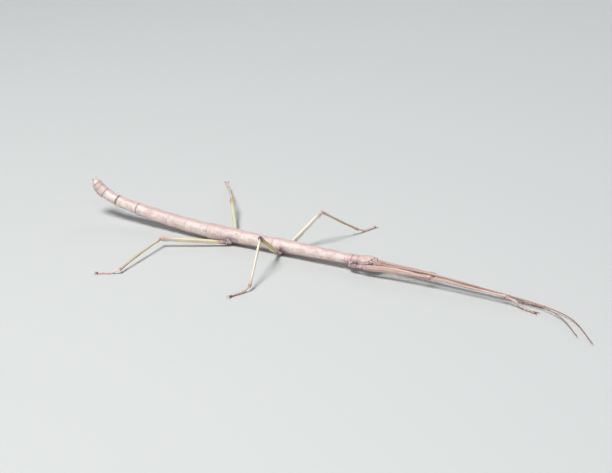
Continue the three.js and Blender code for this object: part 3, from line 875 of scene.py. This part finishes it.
def make_tarsus(leg, finish):
    """Five joints in a row, each a cone that widens to a lobed end over the root of the next,
    with a soft pad below."""
    node = f"{leg}_tarsus"
    limb = foot_of(leg, kept=slice(1, None, 2))
    turn = turns(ROUND["tarsus"])[None, :]
    below = facing(turn, BELLY, 42)
    skins = []
    for n, (root, tip) in enumerate(limb.rings.reshape(-1, 2)):
        start, end = root - (0.55 if n == 0 else 0.28), tip + 0.06
        along = spaced(start, end, STEP["tarsus"])
        t = ((along - root) / (tip - root))[:, None]
        grow = 0.74 + 0.3 * rise(t, 0.0, 0.95) - 0.04 * np.sin(np.pi * np.clip(t, 0, 1))
        pad = 0.05 * below * rise(t, 0.25, 0.85)
        ending = domed(along, start, end, 0.14)[:, None]
        skins.append(limb_skin(limb, along, turn, grow * ending, pad * ending,
                               ridges(t, (0.6, 1.02, 0.05), (0.3, 0.0, 0.08))))
    shown(f"{node}_skin", skins, finish, [node])


def make_claws(leg, finish):
    """Two hooks that curve down to a point, and the flat round pad between them."""
    node = f"{leg}_claws"
    limb = foot_of(leg)
    root = limb.moved(limb.end, 0.05)
    reach = ((corners(node) - root) @ limb.forward).max()
    shares = np.array([-0.15, 0.2, 0.5, 0.8, 1.0])[:, None]
    heights = np.array([0.0, 0.1, 0.13, 0.04, -0.12])[:, None] * MM
    skins = []
    for sign in (-1, 1):
        way = limb.forward + np.tan(np.radians(30)) * sign * limb.side
        places = limb.moved(root, 0, 0.08 * sign) + shares * reach * way + heights * UP
        places[:, 2] = np.maximum(places[:, 2], 0.05 * MM)
        skins.append(finger(places, [0.15, 0.14, 0.1, 0.06, 0.02], 14, 26))
    pad = [limb.moved(root, -0.2), limb.moved(root, 0.2, 0, -0.03), limb.moved(root, 0.55, 0, -0.06)]
    skins.append(finger(pad, [0.14, 0.24, 0.2], 20, 20, flat=0.55))
    shown(f"{node}_skin", skins, finish, [node])


# Each leg's colours along its thigh, shin and foot.
LEG_COLOURS = {
    "right_hind": {
        "femur": [(0, PLUM), (0.05, PINK), (0.14, (0.72, 0.69, 0.42)), (0.7, (0.74, 0.68, 0.48)),
                  (1, BLUSH)],
        "tibia": [(0, BLUSH), (0.1, CREAM), (0.6, (0.55, 0.50, 0.28)), (1, (0.52, 0.44, 0.28))],
        "tarsus": [(0, (0.80, 0.62, 0.59)), (1, (0.74, 0.52, 0.50))],
    },
    "left_hind": {
        "femur": [(0, PLUM), (0.1, (0.66, 0.66, 0.48)), (0.75, (0.66, 0.68, 0.48)), (1, ORANGE)],
        "tibia": [(0, ORANGE), (0.12, CREAM), (1, (0.58, 0.54, 0.34))],
        "tarsus": [(0, CREAM), (1, BLUSH)],
    },
    "right_middle": {
        "femur": [(0, PLUM), (0.1, (0.76, 0.72, 0.36)), (0.65, (0.66, 0.60, 0.22)),
                  (0.88, (0.34, 0.24, 0.11)), (1, UMBER)],
        "tibia": [(0, CREAM), (0.75, (0.68, 0.60, 0.46)), (1, BLUSH)],
        "tarsus": [(0, BLUSH), (0.75, PINK), (1, RUST)],
    },
    "left_middle": {
        # The left middle thigh is painted paler than its twin: painted light on a thigh that the
        # lamps leave in shade.
        "femur": [(0, PLUM), (0.1, (0.84, 0.82, 0.66)), (0.8, (0.88, 0.85, 0.70)), (1, BLUSH)],
        "tibia": [(0, BLUSH), (0.1, (0.62, 0.55, 0.33)), (0.5, (0.60, 0.48, 0.30)),
                  (1, (0.56, 0.34, 0.22))],
        "tarsus": [(0, (0.60, 0.46, 0.38)), (1, PINK)],
    },
    "right_fore": {
        "femur": [(0, PLUM), (0.1, PINK), (0.5, (0.60, 0.40, 0.34)), (1, (0.48, 0.29, 0.23))],
        "tibia": [(0, (0.50, 0.28, 0.21)), (0.5, (0.55, 0.33, 0.26)), (1, (0.60, 0.38, 0.32))],
        "tarsus": [(0, (0.60, 0.40, 0.36)), (0.8, PINK), (1, RUST)],
    },
}
LEG_COLOURS["left_fore"] = LEG_COLOURS["right_fore"]


def make_legs():
    coxa, claw = coxa_finish(), claw_finish()
    makers = {"femur": make_femur, "tibia": make_tibia, "tarsus": make_tarsus}
    for leg, colours in LEG_COLOURS.items():
        fore = leg.endswith("fore")
        lines = 0.55 if fore else 0.25
        specks = 0.8 if leg == "left_middle" else 0.35
        mottled = {"femur": 0.28 if fore else 0.12}
        make_coxa(leg, coxa)
        for part, make in makers.items():
            make(leg, leg_finish(f"{leg} {part} cuticle", colours[part], lines, specks,
                                 mottled=mottled.get(part, 0)))
        make_claws(leg, claw)


# ---- Head ----

def head_sizes():
    """Distances ahead of the neck, and there the head's half width, its top and its bottom."""
    places, (sides, tops) = grouped(*((corners("head") - NECK) / MM).T)
    half = np.ptp(sides, axis=1) / 2 / np.cos(np.pi / HEAD_FACETS)
    return places, np.stack([half, tops[:, 1], tops[:, 0]], 1)


HEAD_AT, HEAD = head_sizes()
HEAD_LENGTH = HEAD_AT[-1]
EYE_RADIUS = 0.56


def scape_ends(side):
    """The places where a feeler's first joint leaves the head and where it ends. Its last two
    rings of corners give its direction."""
    places = corners(f"feeler_{side}_base")
    ahead = (places[:, 0] - places[:, 0].max()) / MM
    tip = places[ahead > -0.08].mean(0)
    behind = (places[:, 0] - tip[0]) / MM
    way = unit(tip - places[(behind > -0.55) & (behind < -0.2)].mean(0))
    return tip - way * (tip[0] - places[:, 0].min()) / way[0], tip


def eye_centre(side):
    """The eye's middle: one radius inside the outermost point of the solid."""
    place = centre(f"eye_{side}")
    place[1] += SIDES[side] * (half_size(f"eye_{side}")[1] - EYE_RADIUS * MM)
    return place


def make_head():
    """A long oval case, (half size times a blunt oval + relief) at each turn, rounded off at
    the front. A rim stands round each eye and feeler socket, a fine line runs along the crown
    and forks, a groove follows each cheek, and a seam parts the plate above the mouth."""
    end = HEAD_LENGTH + 0.1
    along = np.sort(np.concatenate([np.arange(-0.35, end - 0.3, STEP["head"]),
                                    end - np.array([0.26, 0.2, 0.15, 0.1, 0.06, 0.03, 0.01])]))
    x, t = along[:, None], turns(ROUND["head"])[None, :]
    cos, sin = np.cos(t), np.sin(t)
    wide, high, low = spline(along, HEAD_AT[1:], HEAD[1:]).T[:, :, None]
    middle, tall = (high + low) / 2, (high - low) / 2
    blunt = (np.abs(cos) ** 2.3 + np.abs(sin) ** 2.3) ** (-1 / 2.3)
    grown = blunt * (1 + 0.24 * rise(x, 4.9, HEAD_LENGTH) * (1 - 0.85 * rise(sin, 0.1, 0.8)))
    nose = np.sqrt(1 - ((x - 4.7) / (end - 4.698)).clip(0, 1) ** 2)
    ending = nose * (0.72 + 0.28 * rise(x, -0.1, 0.5))

    crown = facing(t, BACK, 3) * between(x, 0.6, 1, 3.3, 3.5)
    forked = bell(np.abs(apart(t, BACK)), 9 + 22 * (x - 3.3) / 1.4, 3)
    forked = forked * between(x, 3.2, 3.5, 4.5, 4.8)
    cheek = mirrored(t, CHEEK_LINE, 4) * between(x, 0.8, 1.4, 4.2, 4.9)
    below = facing(t, BELLY, 60)
    seam = bell(HEAD_LENGTH - x, 0.62, 0.07) * below
    out = ridges(x, (-0.05, 0.62, 0.1), (0.02, 0.4, 0.1)) + 0.008 * waves(x, t, 2.3, 1.1)
    out = out - 0.035 * crown - 0.03 * forked - 0.04 * cheek
    out = out + 0.09 * bell(HEAD_LENGTH - x, 0.4, 0.18) * below - 0.08 * seam
    dark = 0.5 * forked + 0.45 * crown + 0.35 * cheek + 0.4 * seam

    side = (wide * grown + out) * cos * ending
    top = (tall * grown + out) * sin * ending + middle
    straight = np.stack([x + 0 * side, side, top], -1)
    rings = NECK + straight * [1, -1, 1] * MM
    spine = NECK + np.stack(np.broadcast_arrays(x, 0.0, middle), -1) * MM
    for name, sign in SIDES.items():
        eye, socket = eye_centre(name), scape_ends(name)[0]
        reach = np.linalg.norm(rings - eye, axis=-1) / MM
        brow = np.linalg.norm(rings - socket, axis=-1) / MM
        rim = 0.06 * bell(reach, EYE_RADIUS + 0.1, 0.1) + 0.07 * bell(brow, 0.5, 0.14)
        rings = rings + rim[..., None] * MM * unit(rings - spine)
        past, above = (eye[0] - rings[..., 0]) / MM, (rings[..., 2] - eye[2]) / MM
        bands = ridges(above + 0.45 * past, (1, -0.1, 0.17), (0.8, 0.6, 0.14), (0.9, -0.85, 0.2))
        behind = between(past, -0.7, 0.3, 1.4, 2.8)
        own = np.sign(rings[..., 1] - NECK[1]) == sign
        dark = dark + 0.85 * bands * behind * own + 0.6 * bell(reach, EYE_RADIUS, 0.12)
    # plum here is painted shade under the head; blush here is only a pinker crown.
    skin = closed(rings, straight=straight, dark=np.clip(dark, 0, 1),
                  plum=0.7 * rise(-sin, 0.5, 0.95) * rise(x, 2.5, 4.5),
                  blush=rise(sin, 0.6, 1.0) * (0.5 + 0.5 * bell(x, 2, 1.5)))
    shown("head_skin", [skin], head_finish(), ["head"])


def make_eyes():
    """Round eyes, a little longer than tall and flattened outwards: a ball whose rings run
    round the outward axis, with slanting dark bands across."""
    finish = eye_finish()
    tilt = np.linspace(0.02, np.pi - 0.02, 40)[:, None]
    turn = turns(ROUND["eye"])[None, :]
    upward = np.sin(tilt) * np.sin(turn)
    forward = 1.16 * np.sin(tilt) * np.cos(turn)
    dark = ridges(upward + 0.45 * forward, (0.8, 0.5, 0.1), (0.7, 0.0, 0.12), (0.7, -0.55, 0.12))
    for name, sign in SIDES.items():
        outward = sign * 0.78 * np.cos(tilt) + 0 * turn
        local = 0.985 * EYE_RADIUS * np.stack([forward, outward, upward], -1)
        skin = closed(eye_centre(name) + local * MM, straight=local, dark=dark)
        shown(f"eye_{name}_ball", [skin], finish, [f"eye_{name}"])


def make_mouth():
    """A plate above the mouth, the upper lip under it, a lower lip, two jaws, and a long and a
    short beaded feeler on each side, set about the middle of the solid that stands for them."""
    middle, half = centre("mouthparts"), half_size("mouthparts")
    finish = leg_finish("Mouth cuticle", [(0, RUST), (0.5, TAN), (1, RUST)], roughness=0.32)

    def spots(*shares):
        return [middle + half * share for share in np.array(shares)]

    skins = [
        finger(spots((0.2, 0, 1.1), (0.62, 0, 0.85), (0.85, 0, 0.3)), [0.5, 0.56, 0.5],
               28, 20, flat=0.42),
        finger(spots((0.72, 0, 0.5), (0.94, 0, 0.0), (0.9, 0, -0.6)), [0.36, 0.44, 0.4, 0.3],
               28, 24, flat=0.4),
        finger(spots((-0.95, 0, -0.1), (-0.4, 0, -0.35), (0.3, 0, -0.55)), [0.42, 0.5, 0.3],
               24, 20, flat=0.6),
    ]
    for sign in (-1, 1):
        jaw = spots((-0.4, 0.62 * sign, 0.5), (0.25, 0.66 * sign, 0.15), (0.75, 0.3 * sign, -0.4))
        long_palp = spots((-0.6, 0.55 * sign, -0.3), (-0.2, 0.9 * sign, -0.8),
                          (0.35, 0.85 * sign, -1.0), (0.95, 0.5 * sign, -0.95))
        short_palp = spots((-0.5, 0.2 * sign, -0.4), (-0.05, 0.34 * sign, -0.95),
                           (0.5, 0.22 * sign, -1.05))
        skins.append(finger(jaw, [0.3, 0.3, 0.12], 18, 24, flat=0.8))
        skins.append(finger(long_palp, [0.09, 0.13, 0.08, 0.13, 0.07, 0.12, 0.07, 0.11, 0.1],
                            14, 60))
        skins.append(finger(short_palp, [0.07, 0.1, 0.06, 0.1, 0.07], 12, 36))
    shown("mouth_pieces", skins, finish, ["mouthparts"])


# ---- Feelers ----

def feeler_path(side):
    """The middles of the rings of corners of a feeler's three lengths, from root to tip."""
    places = []
    for n in (1, 2, 3):
        node = np.unique(np.round(corners(f"feeler_{side}_{n}"), 7), axis=0)
        node = node[node[:, 0].argsort()]
        breaks = np.nonzero(np.diff(node[:, 0]) > 0.4 * MM)[0] + 1
        places += [(part.min(0) + part.max(0)) / 2 for part in np.split(node, breaks)]
    return np.array(places)


def make_feelers():
    """Each feeler is a stout first joint, a short second one, and a whip of many rings that
    thins towards its tip: a ring's radius swells a little before each groove."""
    stops = [(0, PINK), (0.25, (0.50, 0.34, 0.29)), (0.6, TAN), (1, (0.32, 0.17, 0.12))]
    whip_finish = leg_finish("Feeler cuticle", stops, 0.2, roughness=0.5)
    # The feeler roots' rust-to-tan colours are partly their own reddish brown and partly painted
    # shade, darkened for the shadowed gap between head and thigh.
    base_finish = leg_finish("Feeler root cuticle", [(0, RUST), (0.5, (0.45, 0.25, 0.21)), (1, TAN)],
                             0.4)
    ring_length = 1.15
    turn = turns(ROUND["feeler"])
    for side in SIDES:
        node = f"feeler_{side}_base"
        first, last = scape_ends(side)
        places = feeler_path(side)
        way = unit(last - first) * MM
        scape = finger([first - 0.5 * way, (first + last) / 2, last - 0.1 * way],
                       [0.3, 0.36, 0.4, 0.36, 0.26], 28, 40, flat=1.2)
        joint = finger([last - 0.35 * way, last + 0.1 * way, places[0] + 0.25 * way],
                       [0.22, 0.27, 0.25, 0.2], 24, 20)
        shown(f"{node}_skin", [scape, joint], base_finish, [node])
        path = Path(places)
        start, end = -0.3, path.length
        along = spaced(start, end, STEP["feeler"])
        t = np.clip(along / path.length, 0, 1)
        phase = (along / ring_length) % 1
        radius = (0.235 - 0.125 * t) * (1 + ridges(phase, (0.05, 0.82, 0.12), (-0.1, 0.98, 0.05)))
        radius = (radius * domed(along, start, end, 0.3))[:, None]
        skin = wrapped(path, along, radius * np.cos(turn), radius * np.sin(turn),
                       dark=0.55 * bell(phase, 0.98, 0.07)[:, None], share=t[:, None])
        shown(f"feeler_{side}_whip", [skin], whip_finish,
              [f"feeler_{side}_{n}" for n in (1, 2, 3)])


# ---- Floor, light and camera ----

def make_floor():
    mesh = bpy.data.meshes.new("floor")
    reach = 3.0
    mesh.from_pydata([(-reach, -reach, 0), (reach, -reach, 0), (reach, reach, 0),
                      (-reach, reach, 0)], [], [(0, 1, 2, 3)])
    floor = bpy.data.objects.new("floor", mesh)
    bpy.context.scene.collection.objects.link(floor)
    paper = bpy.data.materials.new("Floor paper")
    paper.use_nodes = True
    shader = paper.node_tree.nodes["Principled BSDF"]
    shader.inputs["Base Color"].default_value = (0.56, 0.58, 0.58, 1)
    shader.inputs["Roughness"].default_value = 0.9
    mesh.materials.append(paper)


def soft_light(name, place, size, power, colour):
    """A square lamp at a place, turned to the insect's neck."""
    lamp = bpy.data.lights.new(name, "AREA")
    lamp.size = size
    lamp.energy = power
    lamp.color = colour
    thing = bpy.data.objects.new(name, lamp)
    thing.location = place
    thing.rotation_euler = (Vector(NECK) - Vector(place)).to_track_quat("-Z", "Y").to_euler()
    bpy.context.scene.collection.objects.link(thing)


def make_lights():
    world = bpy.data.worlds.new("Studio")
    bpy.context.scene.world = world
    world.use_nodes = True
    sky = world.node_tree.nodes["Background"]
    sky.inputs["Color"].default_value = (0.9, 0.95, 1.0, 1)
    sky.inputs["Strength"].default_value = 0.24
    soft_light("key light", (-0.1, -0.3, 0.75), 0.3, 7.0, (1.0, 0.98, 0.96))
    soft_light("fill light", (0.65, -0.45, 0.35), 0.5, 1.0, (0.93, 0.97, 1.0))
    soft_light("rim light", (-0.1, 0.7, 0.45), 0.4, 1.1, (1.0, 1.0, 1.0))


def make_camera():
    """Looks at the aim from its angles: back is the way from the aim to the camera."""
    azimuth, elevation, roll = np.radians([CAMERA[key] for key in ("azimuth", "elevation", "roll")])
    back = np.array([np.sin(azimuth) * np.cos(elevation), -np.cos(azimuth) * np.cos(elevation),
                     np.sin(elevation)])
    right = np.array([np.cos(azimuth), np.sin(azimuth), 0.0])
    above = np.cross(back, right)
    turned_right = np.cos(roll) * right + np.sin(roll) * above
    turned_up = -np.sin(roll) * right + np.cos(roll) * above
    lens = bpy.data.cameras.new("camera")
    lens.sensor_fit = "HORIZONTAL"
    lens.angle = np.radians(CAMERA["wide"])
    lens.clip_start = 0.01
    camera = bpy.data.objects.new("camera", lens)
    place = NECK + AIM + back * CAMERA["distance"]
    axes = np.stack([turned_right, turned_up, back], 1)
    camera.matrix_world = Matrix.Translation(Vector(place)) @ Matrix(axes.tolist()).to_4x4()
    bpy.context.scene.collection.objects.link(camera)
    bpy.context.scene.camera = camera


bpy.context.scene.view_settings.view_transform = "Standard"
make_camera()
make_floor()
make_lights()
make_trunk()
make_operculum()
make_cerci()
make_legs()
make_head()
make_eyes()
make_mouth()
make_feelers()
